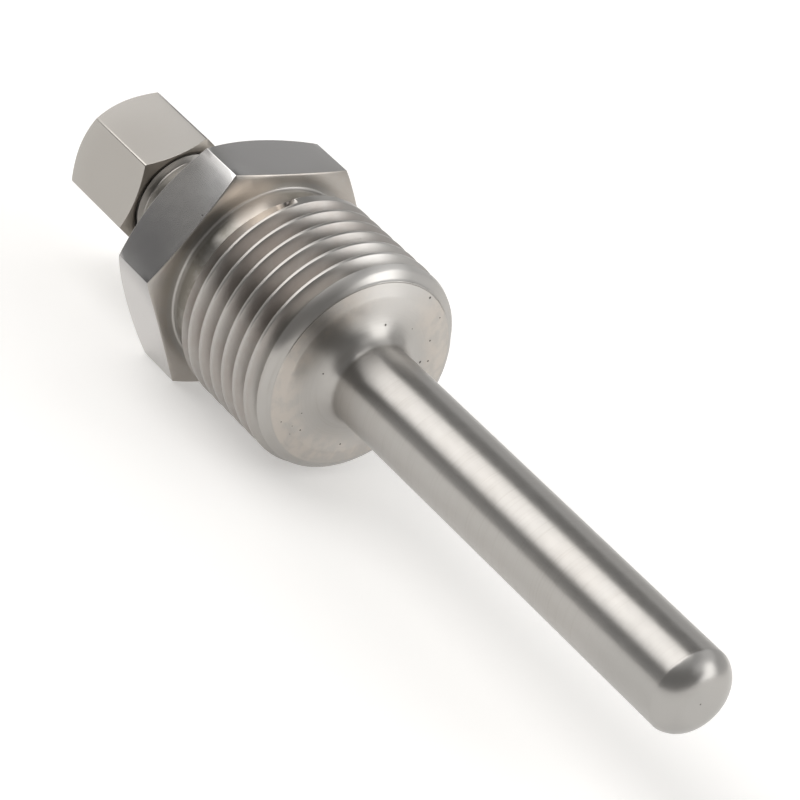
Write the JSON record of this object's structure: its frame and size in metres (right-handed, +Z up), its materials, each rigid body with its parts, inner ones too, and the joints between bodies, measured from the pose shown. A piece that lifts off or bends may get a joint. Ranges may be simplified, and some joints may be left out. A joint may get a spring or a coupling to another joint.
{
  "type": "thermowell",
  "caption": "Screw-in thermowell: hexagon, parallel pipe thread, closed stem with a probe bore, and a compression gland with nut and ferrule at the open end.",
  "frame": {"origin": "middle of the bounding box's underside, where the hexagon's lowest flat meets the surface the well lies on", "axes": "+X along the well's axis towards the closed tip, +Z up through the hexagon's top flat, +Y to the left seen from the gland"},
  "size_m": [0.088, 0.0248, 0.0214],
  "materials": {
    "body_steel": "turned stainless steel, lightly blasted to a satin sheen",
    "nut_steel": "smooth satin stainless steel",
    "ferrule_steel": "fine turned stainless steel"
  },
  "bodies": {
    "well_body": {"well_body": "body_steel"},
    "ferrule": {"ferrule": "ferrule_steel"},
    "compression_nut": {"compression_nut": "nut_steel"}
  },
  "joints": [
    {"name": "nut_travel", "type": "slide", "parent": "well_body", "child": "ferrule", "axis": [1, 0, 0], "range_m": [-0.00301, 0.00091]},
    {"name": "nut_turn", "type": "hinge", "parent": "ferrule", "child": "compression_nut", "pos_m": [-0.03885, 0, 0.0107], "axis": [1, 0, 0], "range_deg": [-1080, 324]}
  ],
  "couplings": [
    {"joint": "nut_travel", "follows": "nut_turn", "m_per_rad": 0.00015915}
  ]
}
